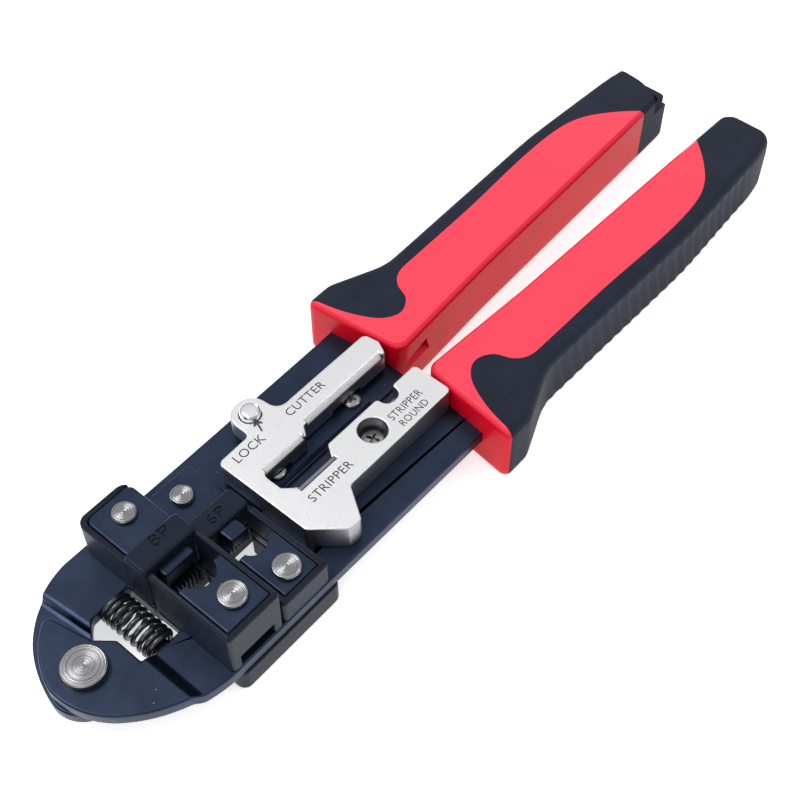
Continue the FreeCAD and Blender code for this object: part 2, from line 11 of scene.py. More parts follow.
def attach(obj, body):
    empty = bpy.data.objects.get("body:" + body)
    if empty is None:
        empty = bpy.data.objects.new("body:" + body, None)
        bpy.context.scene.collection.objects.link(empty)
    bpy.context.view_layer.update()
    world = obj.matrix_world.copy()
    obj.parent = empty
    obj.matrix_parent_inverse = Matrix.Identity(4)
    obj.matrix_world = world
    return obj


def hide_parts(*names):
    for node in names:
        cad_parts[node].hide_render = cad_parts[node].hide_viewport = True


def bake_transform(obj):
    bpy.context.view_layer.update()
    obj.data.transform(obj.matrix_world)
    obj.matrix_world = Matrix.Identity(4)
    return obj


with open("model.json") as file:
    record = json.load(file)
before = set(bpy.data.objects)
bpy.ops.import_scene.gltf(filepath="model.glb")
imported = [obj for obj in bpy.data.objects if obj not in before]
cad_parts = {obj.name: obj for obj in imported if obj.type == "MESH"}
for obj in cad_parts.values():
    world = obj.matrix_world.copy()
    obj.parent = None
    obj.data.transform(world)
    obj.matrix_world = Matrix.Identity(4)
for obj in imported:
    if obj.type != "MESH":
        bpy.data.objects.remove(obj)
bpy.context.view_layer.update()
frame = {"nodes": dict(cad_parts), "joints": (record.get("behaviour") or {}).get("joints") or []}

bl_info = {
    "name": "Plug Crimping Tool",
    "version": (1, 0, 0),
    "blender": (4, 5, 0),
    "location": "View3D > Sidebar > Crimper",
    "description": "Builds the looks of a modular plug crimping tool round its packed frame",
    "category": "Object",
}

# Pieces are modelled in millimetres about the main pivot: X runs to the handle ends, +Y is the
# moving arm's side and Z = 0 is the underside of the flat part of both arms.
MM = 0.001
PIVOT = Vector(frame["joints"][0]["pos_m"])
UNDERSIDE = 7.0
TO_FRAME = Matrix.Translation((PIVOT.x, PIVOT.y, UNDERSIDE * MM)) @ Matrix.Scale(MM, 4)
FIXED, MOVING, LOCK = "fixed_arm", "moving_arm", "lock"

PLATE = 3.4
STEP = 1.75
CASTING_TOP = 10.6
HANDLE_LOW, HANDLE_TOP = -7.0, 10.4
LUG_TOP = 5.0
LANYARD_EYE = (216.0, 11.9, 1.9)    # x, y, radius
NEST_RIVET_8P, NEST_RIVET_6P = (27.2, -16.0), (41.1, -17.0)
RAM_RIVET_8P, RAM_RIVET_6P = (27.2, 16.0), (41.1, 14.6)
CASTING_SCREW, LOCK_BUTTON = (78.9, -7.2), (64.4, 16.3)
BLADE_SCREW_REAR, BLADE_SCREW_FRONT = (85.1, 4.8), (59.6, 4.1)
RIVET_SHANK = 1.8
LOW_SEAT, HIGH_SEAT = -7.2, 8.4     # where the return spring's ends bear, along Y
SHARP = math.radians(40)            # edges sharper than this stay crisp in shading
BEVELLED = math.radians(32)         # edges sharper than this are rounded
FLAT = math.radians(1)              # faces within this of each other are merged before rounding
SCREW_TURN = 0.35                   # how far round each screw stopped, in radians


# ---------------------------------------------------------------- outlines
def arc_through(start, middle, end, count=14):
    """Points on the circle through three points, from start to end."""
    a, b, c = Vector(start), Vector(middle), Vector(end)
    d = 2 * (a.x * (b.y - c.y) + b.x * (c.y - a.y) + c.x * (a.y - b.y))
    aa, bb, cc = a.length_squared, b.length_squared, c.length_squared
    ux = (aa * (b.y - c.y) + bb * (c.y - a.y) + cc * (a.y - b.y)) / d
    uy = (aa * (c.x - b.x) + bb * (a.x - c.x) + cc * (b.x - a.x)) / d
    centre = Vector((ux, uy))
    first = math.atan2(a.y - uy, a.x - ux)
    turn = d / abs(d)
    sweep = (turn * (math.atan2(c.y - uy, c.x - ux) - first)) % (2 * math.pi) * turn
    radius = (a - centre).length
    return [
        (ux + radius * math.cos(first + sweep * i / count), uy + radius * math.sin(first + sweep * i / count))
        for i in range(count + 1)
    ]


def outline(start, moves):
    """A closed plan: each move is an end point, or a middle and an end point for an arc."""
    points = [tuple(start)]
    for move in moves:
        if len(move) == 4:
            points += arc_through(points[-1], move[:2], move[2:])[1:]
        else:
            points.append(tuple(move))
    return points


def rounded(corners, turn=12.0):
    """A closed plan from (x, y, radius) corners."""
    points = []
    count = len(corners)
    for i, (x, y, radius) in enumerate(corners):
        here = Vector((x, y))
        before = (Vector(corners[i - 1][:2]) - here).normalized()
        after = (Vector(corners[(i + 1) % count][:2]) - here).normalized()
        if radius <= 0:
            points.append((x, y))
            continue
        half = before.angle(after) / 2
        reach = radius / math.tan(half)
        centre = here + (before + after).normalized() * (radius / math.sin(half))
        first, last = here + before * reach - centre, here + after * reach - centre
        start = math.atan2(first.y, first.x)
        sweep = (math.atan2(last.y, last.x) - start + math.pi) % (2 * math.pi) - math.pi
        steps = max(2, math.ceil(abs(math.degrees(sweep)) / turn))
        for k in range(steps + 1):
            angle = start + sweep * k / steps
            points.append((centre.x + radius * math.cos(angle), centre.y + radius * math.sin(angle)))
    return points


def clamped(value):
    """The value, held between 0 and 1."""
    return min(1.0, max(0.0, value))


def rounded_rect(x0, x1, y0, y1, radius):
    return rounded([(x0, y0, radius), (x1, y0, radius), (x1, y1, radius), (x0, y1, radius)])


def circle_plan(x, y, radius, count=40):
    return [
        (x + radius * math.cos(2 * math.pi * i / count), y + radius * math.sin(2 * math.pi * i / count))
        for i in range(count)
    ]


def smooth_line(points, steps=6):
    """A Catmull-Rom line through the points."""
    dots = [Vector(p) for p in points]
    dots = [dots[0] * 2 - dots[1]] + dots + [dots[-1] * 2 - dots[-2]]
    line = []
    for a, b, c, d in zip(dots, dots[1:], dots[2:], dots[3:]):
        for k in range(steps):
            t = k / steps
            line.append((b * 2 + (c - a) * t + (a * 2 - b * 5 + c * 4 - d) * t * t
                         + (b * 3 - a - c * 3 + d) * t ** 3) / 2)
    line.append(dots[-2])
    return [(p.x, p.y) for p in line]


def evenly(points, spacing):
    """The closed plan again, with its points about this far apart."""
    closed = [Vector(p) for p in points] + [Vector(points[0])]
    lengths = [(b - a).length for a, b in zip(closed, closed[1:])]
    count = max(8, round(sum(lengths) / spacing))
    step = sum(lengths) / count
    made, index, used = [], 0, 0.0
    for i in range(count):
        target = i * step
        while used + lengths[index] < target:
            used += lengths[index]
            index += 1
        a, b = closed[index], closed[index + 1]
        made.append(a.lerp(b, (target - used) / max(lengths[index], 1e-9)))
    return made


# ---------------------------------------------------------------- meshes
def as_object(name, bm):
    bmesh.ops.recalc_face_normals(bm, faces=bm.faces)
    mesh = bpy.data.meshes.new(name)
    bm.to_mesh(mesh)
    bm.free()
    obj = bpy.data.objects.new(name, mesh)
    bpy.context.scene.collection.objects.link(obj)
    return obj


def prism(points, z0, z1, name="tool_cut"):
    """A closed solid with this plan from z0 to z1."""
    bm = bmesh.new()
    low = [bm.verts.new((p[0], p[1], z0)) for p in points]
    high = [bm.verts.new((p[0], p[1], z1)) for p in points]
    bm.faces.new(low)
    bm.faces.new(high)
    for i in range(len(points)):
        j = (i + 1) % len(points)
        bm.faces.new((low[i], low[j], high[j], high[i]))
    return as_object(name, bm)


def block(x0, x1, y0, y1, z0, z1):
    return prism([(x0, y0), (x1, y0), (x1, y1), (x0, y1)], z0, z1)


def drill(x, y, radius, z0, z1):
    return prism(circle_plan(x, y, radius), z0, z1)


def swept_x(section, x0, x1):
    """A solid with a (y, z) section swept along X."""
    obj = prism(section, x0, x1)
    obj.data.transform(Matrix(((0, 0, 1, 0), (1, 0, 0, 0), (0, 1, 0, 0), (0, 0, 0, 1))))
    return obj


def apply_modifiers(obj):
    made = bpy.data.meshes.new_from_object(obj.evaluated_get(bpy.context.evaluated_depsgraph_get()))
    old = obj.data
    obj.modifiers.clear()
    obj.data = made
    made.name = obj.name
    bpy.data.meshes.remove(old)
    return obj


def combine(obj, others, operation="DIFFERENCE"):
    """Cut, join or intersect obj with each of the others, which are used up."""
    for other in others:
        modifier = obj.modifiers.new("combine", "BOOLEAN")
        modifier.operation = operation
        modifier.solver = "MANIFOLD"
        modifier.object = other
    apply_modifiers(obj)
    for other in others:
        bpy.data.meshes.remove(other.data)
    return obj


def round_edges(obj, width, segments=3, painted_highlight_slot=-1):
    """Round every sharp edge by this width in millimetres, merging flat areas first."""
    weld = obj.modifiers.new("weld", "WELD")
    weld.merge_threshold = 0.002
    dissolve = obj.modifiers.new("flats", "DECIMATE")
    dissolve.decimate_type = "DISSOLVE"
    dissolve.angle_limit = FLAT
    bevel = obj.modifiers.new("bevel", "BEVEL")
    bevel.width = width
    bevel.segments = segments
    bevel.limit_method = "ANGLE"
    bevel.angle_limit = BEVELLED
    bevel.use_clamp_overlap = False
    bevel.harden_normals = False
    # the rounded faces can take their own slot, which the blued steel fills with a painted highlight
    bevel.material = painted_highlight_slot
    return apply_modifiers(obj)


def smooth_shading(obj):
    mesh = obj.data
    mesh.polygons.foreach_set("use_smooth", [True] * len(mesh.polygons))
    mesh.set_sharp_from_angle(angle=SHARP)
    weighted = obj.modifiers.new("normals", "WEIGHTED_NORMAL")
    weighted.keep_sharp = True
    weighted.weight = 80
    apply_modifiers(obj)


def settle(obj, body, slot, nodes, rim=None):
    """Put a finished piece in the frame: its body, its material slot and the nodes it stands for.

    A turned piece keeps its own origin on its axis. The second finish goes on faces marked 1: a painted
    highlight on the rounded rims of the steel, or a painted shadow on the floors of sunk letters.
    """
    if "axis" in obj:
        x, y = obj["axis"]
        del obj["axis"]
        obj.data.transform(Matrix.Scale(MM, 4))
        obj.location = TO_FRAME @ Vector((x, y, 0))
    else:
        obj.data.transform(TO_FRAME)
    dress(obj, finish_named(slot), finish_named(rim) if rim else None)
    smooth_shading(obj)
    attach(obj, body)
    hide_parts(*nodes)


def dress(obj, material, rim=None):
    keep = [p.material_index for p in obj.data.polygons]
    obj.data.materials.clear()
    obj.data.materials.append(material)
    # the second material is painted light, either a painted rim highlight or a painted letter shadow, kept on
    # faces marked 1
    if rim is not None:
        obj.data.materials.append(rim)
        obj.data.polygons.foreach_set("material_index", [min(k, 1) for k in keep])
    else:
        obj.data.polygons.foreach_set("material_index", [0] * len(keep))


def from_node(node, name):
    """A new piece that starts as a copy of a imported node's solid, in millimetres."""
    mesh = frame["nodes"][node].data.copy()
    mesh.name = name
    mesh.transform(TO_FRAME.inverted())
    mesh.materials.clear()
    if "custom_normal" in mesh.attributes:
        mesh.attributes.remove(mesh.attributes["custom_normal"])
    obj = bpy.data.objects.new(name, mesh)
    bpy.context.scene.collection.objects.link(obj)
    return obj


def turned(name, profile, x, y, segments=72):
    """A solid of revolution from (radius, z) points that start and end on its axis."""
    bm = bmesh.new()
    rings = []
    for radius, z in profile:
        if radius <= 0:
            rings.append([bm.verts.new((0, 0, z))])
            continue
        rings.append([
            bm.verts.new((radius * math.cos(2 * math.pi * k / segments),
                          radius * math.sin(2 * math.pi * k / segments), z))
            for k in range(segments)
        ])
    for upper, lower in zip(rings, rings[1:]):
        for k in range(segments):
            m = (k + 1) % segments
            corners = []
            for vert in (upper[k % len(upper)], upper[m % len(upper)],
                         lower[m % len(lower)], lower[k % len(lower)]):
                if vert not in corners:
                    corners.append(vert)
            bm.faces.new(corners)
    obj = as_object(name, bm)
    obj["axis"] = (x, y)
    return obj


def lettering(text, x, y, height, z, depth, stretch=1.0):
    """Raised letters to cut into a face at height z, reading along X from (x, y)."""
    curve = bpy.data.curves.new("letters", "FONT")
    curve.body = text
    curve.size = height / 0.72
    curve.extrude = depth
    curve.resolution_u = 3
    curve.space_character = 1.06
    holder = bpy.data.objects.new("letters", curve)
    bpy.context.scene.collection.objects.link(holder)
    mesh = bpy.data.meshes.new_from_object(holder.evaluated_get(bpy.context.evaluated_depsgraph_get()))
    bpy.data.curves.remove(curve)
    mesh.transform(Matrix.Translation((x, y, z)) @ Matrix.Diagonal((stretch, 1, 1, 1)))
    bm = bmesh.new()
    bm.from_mesh(mesh)
    bpy.data.meshes.remove(mesh)
    bmesh.ops.remove_doubles(bm, verts=bm.verts, dist=0.0005)
    return as_object("letters", bm)


# ---------------------------------------------------------------- shader node groups
def new_group(name, inputs, outputs):
    group = bpy.data.node_groups.new(name, "ShaderNodeTree")
    for label, value in inputs:
        socket = group.interface.new_socket(label, in_out="INPUT", socket_type="NodeSocketFloat")
        socket.default_value = value
    for label in outputs:
        group.interface.new_socket(label, in_out="OUTPUT", socket_type="NodeSocketFloat")
    return group, group.nodes.new("NodeGroupInput"), group.nodes.new("NodeGroupOutput")


def millimetres(tree):
    """Object coordinates in millimetres."""
    place = tree.nodes.new("ShaderNodeTexCoord")
    scale = tree.nodes.new("ShaderNodeVectorMath")
    scale.operation = "SCALE"
    scale.inputs["Scale"].default_value = 1 / MM
    tree.links.new(place.outputs["Object"], scale.inputs[0])
    return scale.outputs[0]


def math_node(tree, operation, a, b=None):
    node = tree.nodes.new("ShaderNodeMath")
    node.operation = operation
    for socket, value in zip(node.inputs, (a, b)):
        if value is None:
            continue
        if isinstance(value, (int, float)):
            socket.default_value = value
        else:
            tree.links.new(value, socket)
    return node.outputs[0]


def noise(tree, vector, scale, detail=3.0, roughness=0.55):
    node = tree.nodes.new("ShaderNodeTexNoise")
    node.inputs["Detail"].default_value = detail
    node.inputs["Roughness"].default_value = roughness
    tree.links.new(vector, node.inputs["Vector"])
    if isinstance(scale, (int, float)):
        node.inputs["Scale"].default_value = scale
    else:
        tree.links.new(scale, node.inputs["Scale"])
    return node.outputs["Fac"]


def make_grain_group():
    """Fine surface grain: Height for a bump, and the slow Mottle that varies colour and gloss."""
    group, given, result = new_group(
        "surface_grain", [("Grain Scale", 4.0), ("Mottle Scale", 0.12)], ["Height", "Mottle"])
    place = millimetres(group)
    group.links.new(noise(group, place, given.outputs["Grain Scale"], 4.0), result.inputs["Height"])
    group.links.new(noise(group, place, given.outputs["Mottle Scale"], 3.0), result.inputs["Mottle"])
    return group


def make_dust_group():
    """Sparse pale specks of dust as a mask."""
    group, given, result = new_group(
        "dust_specks", [("Spacing Scale", 0.9), ("Speck Size", 0.07), ("Share", 0.5)], ["Mask"])
    place = millimetres(group)
    cells = group.nodes.new("ShaderNodeTexVoronoi")
    group.links.new(place, cells.inputs["Vector"])
    group.links.new(given.outputs["Spacing Scale"], cells.inputs["Scale"])
    near = math_node(group, "LESS_THAN", cells.outputs["Distance"], given.outputs["Speck Size"])
    parts = group.nodes.new("ShaderNodeSeparateColor")
    group.links.new(cells.outputs["Color"], parts.inputs["Color"])
    chosen = math_node(group, "LESS_THAN", parts.outputs[0], given.outputs["Share"])
    group.links.new(math_node(group, "MULTIPLY", near, chosen), result.inputs["Mask"])
    return group


def make_rings_group():
    """Concentric tool marks round the piece's own axis, as Height and as a light and dark Tone."""
    group, given, result = new_group("turned_rings", [("Pitch", 0.22)], ["Height", "Tone"])
    place = millimetres(group)
    flat = group.nodes.new("ShaderNodeVectorMath")
    flat.operation = "MULTIPLY"
    flat.inputs[1].default_value = (1, 1, 0)
    group.links.new(place, flat.inputs[0])
    distance = group.nodes.new("ShaderNodeVectorMath")
    distance.operation = "LENGTH"
    group.links.new(flat.outputs[0], distance.inputs[0])
    radius = distance.outputs["Value"]
    wobble = math_node(group, "MULTIPLY", noise(group, place, 0.6, 2.0), 0.12)
    turns = math_node(group, "DIVIDE", math_node(group, "ADD", radius, wobble), given.outputs["Pitch"])
    wave = math_node(group, "SINE", math_node(group, "MULTIPLY", turns, 2 * math.pi))
    group.links.new(wave, result.inputs["Height"])
    strip = group.nodes.new("ShaderNodeCombineXYZ")
    group.links.new(turns, strip.inputs[0])
    group.links.new(noise(group, strip.outputs[0], 0.9, 2.0), result.inputs["Tone"])
    return group


# ---------------------------------------------------------------- finishes
class Finish:
    """One material: its Principled shader stays here, and shared effects come in as groups."""

    def __init__(self, name):
        self.material = bpy.data.materials.new(name)
        self.material.use_nodes = True
        self.tree = self.material.node_tree
        self.shader = self.tree.nodes["Principled BSDF"]

    def group(self, group, **values):
        node = self.tree.nodes.new("ShaderNodeGroup")
        node.node_tree = group
        for label, value in values.items():
            node.inputs[label.replace("_", " ")].default_value = value
        return node

    def set(self, **values):
        for label, value in values.items():
            self.shader.inputs[label.replace("_", " ")].default_value = value
        return self

    def upward(self):
        """How far the surface faces up, from the piece's own normals."""
        place = self.tree.nodes.new("ShaderNodeTexCoord")
        parts = self.tree.nodes.new("ShaderNodeSeparateXYZ")
        self.tree.links.new(place.outputs["Normal"], parts.inputs[0])
        return parts.outputs["Z"]

    def between(self, value, low, high, out_low, out_high):
        node = self.tree.nodes.new("ShaderNodeMapRange")
        for socket, number in zip(node.inputs[1:5], (low, high, out_low, out_high)):
            socket.default_value = number
        self.tree.links.new(value, node.inputs["Value"])
        return node.outputs["Result"]

    def colours(self, factor, low, high):
        node = self.tree.nodes.new("ShaderNodeMix")
        node.data_type = "RGBA"
        self.tree.links.new(factor, node.inputs["Factor"])
        for index, colour in ((6, low), (7, high)):
            if hasattr(colour, "links"):
                self.tree.links.new(colour, node.inputs[index])
            else:
                node.inputs[index].default_value = (*colour, 1)
        return node.outputs[2]

    def feed(self, label, value):
        self.tree.links.new(value, self.shader.inputs[label])
        return self

    def bump(self, height, distance_mm, strength=1.0):
        node = self.tree.nodes.new("ShaderNodeBump")
        node.inputs["Strength"].default_value = strength
        node.inputs["Distance"].default_value = distance_mm * MM
        self.tree.links.new(height, node.inputs["Height"])
        normal = self.shader.inputs["Normal"]
        if normal.is_linked:
            self.tree.links.new(normal.links[0].from_socket, node.inputs["Normal"])
        self.tree.links.new(node.outputs["Normal"], normal)
        return self


def shade(colour, factor):
    return tuple(c * factor for c in colour)


def make_finishes(colours):
    grain, dust, rings = make_grain_group(), make_dust_group(), make_rings_group()
    made = {}

    def grained(name, colour, spread, roughness, scale, depth, mottle=0.12, specks=None, painted_top_light=None,
                **shader):
        """A finish with mottled colour and gloss and a fine grain; a second top colour, when given, is
        painted light: faces that point up take it and the sides keep the darker colour.
        """
        finish = Finish(name).set(**shader)
        marks = finish.group(grain, Grain_Scale=scale, Mottle_Scale=mottle)
        tone = finish.between(marks.outputs["Mottle"], 0.3, 0.7, 0.0, 1.0)
        base = finish.colours(tone, shade(colour, 1 - spread), shade(colour, 1 + spread))
        # painted light: faces that point up take the lighter top colour, the sides keep the darker one
        if painted_top_light:
            base = finish.colours(finish.between(finish.upward(), 0.35, 0.95, 0.0, 1.0), base, painted_top_light)
        if specks:
            spots = finish.group(dust, Spacing_Scale=specks[0], Speck_Size=specks[1], Share=specks[2])
            base = finish.colours(spots.outputs["Mask"], base, specks[3])
        finish.feed("Base Color", base)
        finish.feed("Roughness", finish.between(marks.outputs["Height"], 0.3, 0.7, *roughness))
        finish.bump(marks.outputs["Height"], depth)
        made[name] = finish.material
        return finish

    grained("blued_steel", colours.steel, 0.22, (0.30, 0.40), 2.6, 0.012,
            specks=(0.42, 0.045, 0.30, (0.30, 0.36, 0.45)), Metallic=0.9)
    # a lighter copy of the blued steel for the rounded rims: a painted highlight standing in for the light
    # they catch
    grained("blued_steel_painted_rim_highlight", shade(colours.steel, 2.2), 0.12, (0.22, 0.32), 2.6, 0.008, Metallic=0.9)
    grained("black_moulding", colours.moulding, 0.2, (0.36, 0.48), 5.0, 0.016,
            specks=(0.5, 0.035, 0.25, (0.18, 0.2, 0.25)), Specular_IOR_Level=0.2,
            Specular_Tint=(0.6, 0.72, 1, 1))
    # the casting is lighter where it faces up and darker on its sides: painted highlight and painted shade
    grained("satin_casting", colours.casting, 0.1, (0.26, 0.44), 3.6, 0.05, mottle=0.3,
            specks=(1.1, 0.12, 0.35, (0.55, 0.55, 0.57)), painted_top_light=colours.casting_painted_top_light, Metallic=1.0)
    grained("black_spring_steel", colours.spring, 0.2, (0.16, 0.24), 3.0, 0.004,
            Metallic=0.0, Coat_Weight=0.6, Coat_Roughness=0.08)
    # the shells are pinker where they face up, a painted sheen, and deeper red on their sides, painted shade
    grained("red_plastic", colours.red, 0.05, (0.30, 0.38), 3.0, 0.006, painted_top_light=colours.sheen,
            specks=(0.16, 0.03, 0.4, (0.35, 0.01, 0.02)), Specular_IOR_Level=0.15)
    grained("black_rubber", colours.rubber, 0.18, (0.56, 0.70), 3.2, 0.035,
            specks=(0.35, 0.03, 0.3, (0.10, 0.11, 0.13)), Specular_IOR_Level=0.2,
            Specular_Tint=(0.7, 0.8, 1, 1))
    grained("blade_steel", colours.blade, 0.1, (0.2, 0.34), 2.0, 0.006, Metallic=1.0)

    made["label_shadow"] = Finish("label_shadow").set(
        Base_Color=(*shade(colours.casting, 0.2), 1), Roughness=0.7).material

    turned_steel = Finish("turned_steel").set(Metallic=1.0)
    marks = turned_steel.group(rings, Pitch=0.30)
    turned_steel.feed("Base Color", turned_steel.colours(
        turned_steel.between(marks.outputs["Tone"], 0.35, 0.65, 0.0, 1.0),
        shade(colours.rivet, 0.5), shade(colours.rivet, 1.45)))
    turned_steel.feed("Roughness", turned_steel.between(marks.outputs["Tone"], 0.3, 0.7, 0.34, 0.2))
    turned_steel.bump(marks.outputs["Height"], 0.02)
    made["turned_steel"] = turned_steel.material

    for name, roughness, bright in (("plated_screw", 0.16, 1.1), ("polished_knob", 0.12, 2.8)):
        finish = Finish(name).set(Metallic=1.0)
        marks = finish.group(rings, Pitch=0.5)
        finish.feed("Base Color", finish.colours(marks.outputs["Tone"], shade(colours.rivet, 0.9 * bright),
                                                 shade(colours.rivet, 1.1 * bright)))
        finish.feed("Roughness", finish.between(marks.outputs["Tone"], 0.2, 0.8, roughness, roughness + 0.12))
        made[name] = finish.material
    return made


FINISHES = {}


def finish_named(name):
    if not FINISHES:
        FINISHES.update(make_finishes(bpy.context.scene.crimper_colours))
    return FINISHES[name]


# ---------------------------------------------------------------- settings
def length(name, description, default):
    return FloatProperty(name=name, description=description, default=default, unit="LENGTH", min=0.0)


def colour(name, description, default):
    return FloatVectorProperty(name=name, description=description, default=default,
                               subtype="COLOR", size=3, min=0.0, max=1.0)


class CrimperSizes(PropertyGroup):
    """Sizes a user may change."""
    steel_edge: length("Steel edge", "Rounding of the pressed steel arms' rims", 0.00055)
    moulding_edge: length("Moulding edge", "Rounding of the moulded blocks' edges", 0.00035)
    casting_edge: length("Casting edge", "Rounding of the casting's edges", 0.0004)
    letter_depth: length("Letter depth", "How deep the labels are sunk", 0.0003)
    flute_depth: length("Flute depth", "Depth of the flutes along the grips", 0.0006)
    flute_pitch: length("Flute pitch", "Distance from one flute to the next", 0.0039)
    spring_wire: length("Spring wire", "Radius of the return spring's wire", 0.0006)
    spring_coil: length("Spring coil", "Radius of the return spring's centre line", 0.0033)
    spring_turns: FloatProperty(name="Spring turns", description="Turns of the return spring",
                                default=8.5, min=2.0, max=20.0)


class CrimperColours(PropertyGroup):
    """Colours a user may change."""
    steel: colour("Blued steel", "Both pressed arms and the jaw plates", (0.023, 0.033, 0.062))
    moulding: colour("Moulding", "Nests, rams and the blocks below", (0.008, 0.010, 0.018))
    # The casting's two colours are painted light: the darker one is painted shade on its sides, the lighter
    # one a painted highlight where it faces up.
    casting: colour("Casting", "Stripper and cutter body on its sides", (0.36, 0.36, 0.38))
    casting_painted_top_light: colour("Casting top", "Stripper and cutter body where it faces up", (0.76, 0.76, 0.77))
    rivet: colour("Rivets", "Turned rivets and screws", (0.27, 0.27, 0.28))
    blade: colour("Blades", "Ground blades", (0.22, 0.23, 0.26))
    spring: colour("Spring", "Black spring steel", (0.010, 0.011, 0.016))
    # The shells' two reds are painted light: the deeper one on the sides is painted shade, the pinker one on
    # faces that point up is a painted sheen.
    red: colour("Shell", "Hard handle shells", (0.60, 0.001, 0.014))
    sheen: colour("Shell sheen", "Hard handle shells where they face up", (0.90, 0.055, 0.095))
    rubber: colour("Grip", "Soft handle grips", (0.011, 0.014, 0.025))


class CrimperStudio(PropertyGroup):
    """Camera and light."""
    azimuth: FloatProperty(name="Azimuth", description="Camera direction round the tool",
                           default=math.radians(-49.4), subtype="ANGLE")
    elevation: FloatProperty(name="Elevation", description="Camera height angle",
                             default=math.radians(52.5), subtype="ANGLE")
    distance: length("Distance", "Camera distance from its target", 0.318)
    lens: FloatProperty(name="Lens", description="Focal length in millimetres", default=63.0, min=10.0)
    target: FloatVectorProperty(name="Target", description="What the camera points at",
                                default=(-0.01475, -0.0039, 0.01395), subtype="XYZ", unit="LENGTH")
    sky: FloatProperty(name="Surround", description="Brightness of the surround", default=1.0, min=0.0)
    key: FloatProperty(name="Key light", description="Power of the overhead light", default=4.0, min=0.0)
    floor: colour("Floor", "Floor colour", (0.93, 0.93, 0.93))
    paper: FloatProperty(name="Paper glow", description="How far the floor is lit from below",
                         default=0.6, min=0.0)


# ---------------------------------------------------------------- arms
def pressed(obj, foot, top, rise, pivot=(0.0, 0.0), turn=0.0, strips=8):
    """Press an arm's tip up or down: full rise before foot, none after top, measured across the bend."""
    along = Vector((math.cos(turn), math.sin(turn), 0))
    origin = Vector((*pivot, 0))
    bm = bmesh.new()
    bm.from_mesh(obj.data)
    for k in range(strips + 1):
        at = foot + (top - foot) * k / strips
        bmesh.ops.bisect_plane(bm, geom=bm.verts[:] + bm.edges[:] + bm.faces[:], dist=1e-5,
                               plane_co=origin + along * at, plane_no=along)
    for vert in bm.verts:
        t = clamped(((vert.co - origin).dot(along) - foot) / (top - foot))
        vert.co.z += rise * (1 - t * t * (3 - 2 * t))
    bm.to_mesh(obj.data)
    bm.free()
    return obj


def spring_peg(seat, inward, first):
    """The notch in an arm round the spring's seat, with the peg that the spring sits on."""
    ends = [(15.8, seat), (15.8, seat + inward), (13.0, seat + inward), (13.0, seat)]
    return ends if first == "far" else ends[::-1]


def build_right_arm():
    plan = outline((20.0, -22.8), [
        (7.9, -20.0, -2.8, -12.5), (-7.0, -5.2, -7.8, 1.8), (-5.2, 8.0, 0.9, 14.4),
        (2.9, 14.2, 3.4, 12.6), (5.3, 4.0),
        (8.6, 0.0), (8.6, LOW_SEAT), *spring_peg(LOW_SEAT, 4.0, "near"), (19.0, LOW_SEAT), (19.0, -0.4),
        (99.0, -0.4), (99.0, -9.6), (150.0, -11.6), (150.0, -20.4), (104.0, -23.2), (95.0, -23.2),
        (48.0, -22.8),
    ])
    arm = prism(plan, 0, PLATE, "arm_right")
    combine(arm, [
        drill(0, 0, 3.6, -1, 5),
        drill(*NEST_RIVET_8P, RIVET_SHANK, -1, 5),
        drill(*NEST_RIVET_6P, RIVET_SHANK, -1, 5),
        block(20.55, 32.45, -10.4, 1, -1, 5),
        block(36.0, 45.9, -10.4, 1, -1, 5),
        drill(*CASTING_SCREW, 1.5, -1, 5),
    ])
    pressed(arm, 9.0, 12.2, STEP)
    return arm, FIXED, ["right_arm"]


def build_left_arm():
    plan = outline((20.0, 22.8), [
        (48.0, 22.8), (95.0, 23.2), (104.0, 23.2), (150.0, 20.4), (150.0, 11.6), (99.6, 9.6),
        (99.6, 0.4), (19.0, 0.4), (19.0, HIGH_SEAT), *spring_peg(HIGH_SEAT, -4.0, "far"), (9.0, HIGH_SEAT),
        (5.8, 5.4), (5.8, -3.2), (3.2, -6.6, -2.0, -7.8), (-6.6, -5.2, -8.6, 0.4),
        (-7.2, 5.8, -3.2, 13.4), (3.9, 19.6, 14.0, 22.8),
    ])
    arm = prism(plan, 0, PLATE, "arm_left")
    combine(arm, [
        drill(0, 0, 3.65, -1, 5),
        drill(*RAM_RIVET_8P, RIVET_SHANK, -1, 5),
        drill(*RAM_RIVET_6P, RIVET_SHANK, -1, 5),
        drill(*BLADE_SCREW_REAR, 1.0, -1, 5),
        drill(*BLADE_SCREW_FRONT, 1.0, -1, 5),
    ])
    pressed(arm, -0.6, 0.8, -STEP, (7.0, 6.5), math.radians(6.0), 5)
    return arm, MOVING, ["left_arm"]


# ---------------------------------------------------------------- rivets, screws, knob
def rivet_profile(low, high, radius, head, shank, rim=0.5):
    """A turned rivet: bevelled heads with a centre dimple and shallow facing marks."""
    top = [(0, high + head - 0.18), (0.28, high + head - 0.14), (0.42, high + head)]
    step = 0.42
    mark = 0
    while step + 0.42 < radius - rim:
        step += 0.42
        mark += 1
        top.append((step, high + head - (0.035 if mark % 2 else 0.0)))
    top += [(radius - rim, high + head), (radius - 0.16, high + head - 0.14),
            (radius, high + head - 0.42), (radius, high + 0.12), (radius - 0.1, high), (shank, high)]
    foot = [(r, low + high - z) for r, z in reversed(top)]
    return top + foot


def build_rivet(name, x, y, low, high, radius, head, shank, body):
    rivet = turned(name + "_turned", rivet_profile(low, high, radius, head, shank), x, y)
    settle(rivet, body, "turned_steel", [name])


